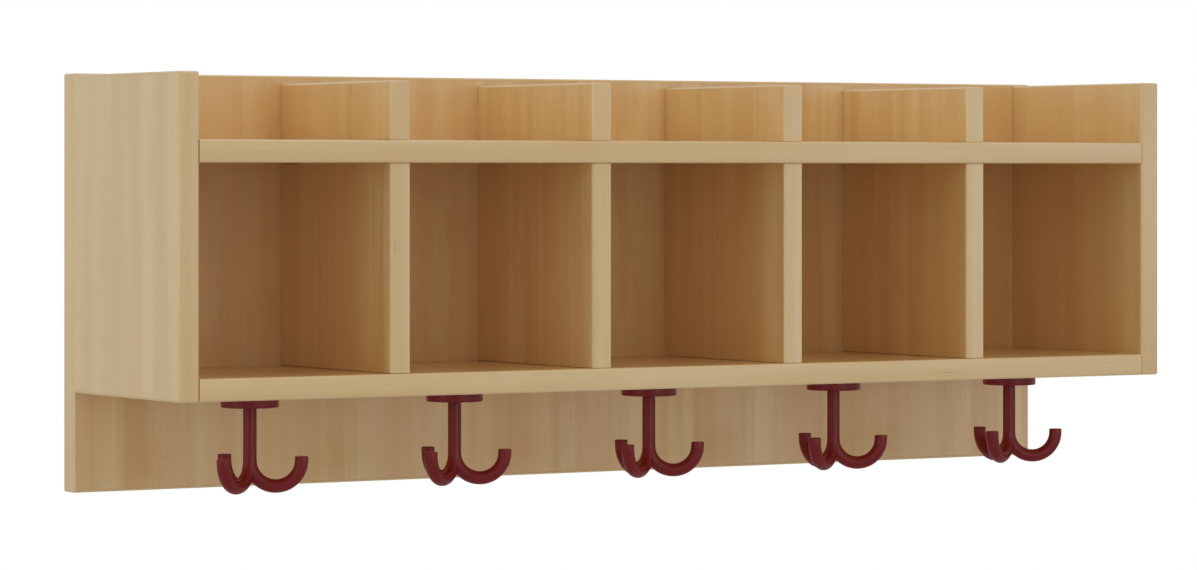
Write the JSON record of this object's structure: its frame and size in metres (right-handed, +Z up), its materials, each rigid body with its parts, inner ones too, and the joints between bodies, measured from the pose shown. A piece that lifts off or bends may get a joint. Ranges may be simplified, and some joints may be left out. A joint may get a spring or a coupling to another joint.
{
  "type": "wall coat rack with open lockers",
  "caption": "Wall-hung cloakroom rack of maple-coloured board: open lockers with open trays on top and swivelling multi-arm coat hooks below, all on one back panel.",
  "frame": {"origin": "centre of the back panel's rear face, which bears on the wall", "axes": "+X to the right seen from the front, +Y into the wall, +Z up"},
  "size_m": [1, 0.216, 0.353],
  "materials": {
    "board": "satin light maple, fine straight grain, softly rounded edges",
    "hook_nylon": "dark wine-red moulded nylon, satin gloss",
    "zinc_steel": "zinc-plated steel"
  },
  "bodies": {
    "rack": {"back_panel": "board", "side_panel_left": "board", "side_panel_right": "board", "lower_shelf": "board", "upper_shelf": "board", "locker_divider_1": "board", "locker_divider_2": "board", "locker_divider_3": "board", "locker_divider_4": "board", "tray_divider_1": "board", "tray_divider_2": "board", "tray_divider_3": "board", "tray_divider_4": "board", "hook_base_1": "hook_nylon", "hook_base_2": "hook_nylon", "hook_base_3": "hook_nylon", "hook_base_4": "hook_nylon", "hook_base_5": "hook_nylon", "base_screw_1a": "zinc_steel", "base_screw_1b": "zinc_steel", "base_screw_1c": "zinc_steel", "base_screw_2a": "zinc_steel", "base_screw_2b": "zinc_steel", "base_screw_2c": "zinc_steel", "base_screw_3a": "zinc_steel", "base_screw_3b": "zinc_steel", "base_screw_3c": "zinc_steel", "base_screw_4a": "zinc_steel", "base_screw_4b": "zinc_steel", "base_screw_4c": "zinc_steel", "base_screw_5a": "zinc_steel", "base_screw_5b": "zinc_steel", "base_screw_5c": "zinc_steel", "back_screw_1": "zinc_steel", "back_screw_2": "zinc_steel", "back_screw_3": "zinc_steel", "back_screw_4": "zinc_steel", "back_screw_5": "zinc_steel", "back_screw_6": "zinc_steel", "back_screw_7": "zinc_steel", "back_screw_8": "zinc_steel", "back_screw_9": "zinc_steel", "back_screw_10": "zinc_steel", "wall_hanger_left": "zinc_steel", "wall_hanger_right": "zinc_steel", "hanger_screw_1": "zinc_steel", "hanger_screw_2": "zinc_steel", "hanger_screw_3": "zinc_steel", "hanger_screw_4": "zinc_steel"},
    "swivel_hook_1": {"hook_1": "hook_nylon", "hook_pivot_screw_1": "zinc_steel"},
    "swivel_hook_2": {"hook_2": "hook_nylon", "hook_pivot_screw_2": "zinc_steel"},
    "swivel_hook_3": {"hook_3": "hook_nylon", "hook_pivot_screw_3": "zinc_steel"},
    "swivel_hook_4": {"hook_4": "hook_nylon", "hook_pivot_screw_4": "zinc_steel"},
    "swivel_hook_5": {"hook_5": "hook_nylon", "hook_pivot_screw_5": "zinc_steel"}
  },
  "joints": [
    {"name": "hook_1_swivel", "type": "hinge", "parent": "rack", "child": "swivel_hook_1", "pos_m": [-0.3924, -0.1325, -0.1025], "axis": [0, 0, 1], "continuous": true},
    {"name": "hook_2_swivel", "type": "hinge", "parent": "rack", "child": "swivel_hook_2", "pos_m": [-0.1962, -0.1325, -0.1025], "axis": [0, 0, 1], "continuous": true},
    {"name": "hook_3_swivel", "type": "hinge", "parent": "rack", "child": "swivel_hook_3", "pos_m": [0, -0.1325, -0.1025], "axis": [0, 0, 1], "continuous": true},
    {"name": "hook_4_swivel", "type": "hinge", "parent": "rack", "child": "swivel_hook_4", "pos_m": [0.1962, -0.1325, -0.1025], "axis": [0, 0, 1], "continuous": true},
    {"name": "hook_5_swivel", "type": "hinge", "parent": "rack", "child": "swivel_hook_5", "pos_m": [0.3924, -0.1325, -0.1025], "axis": [0, 0, 1], "continuous": true}
  ]
}
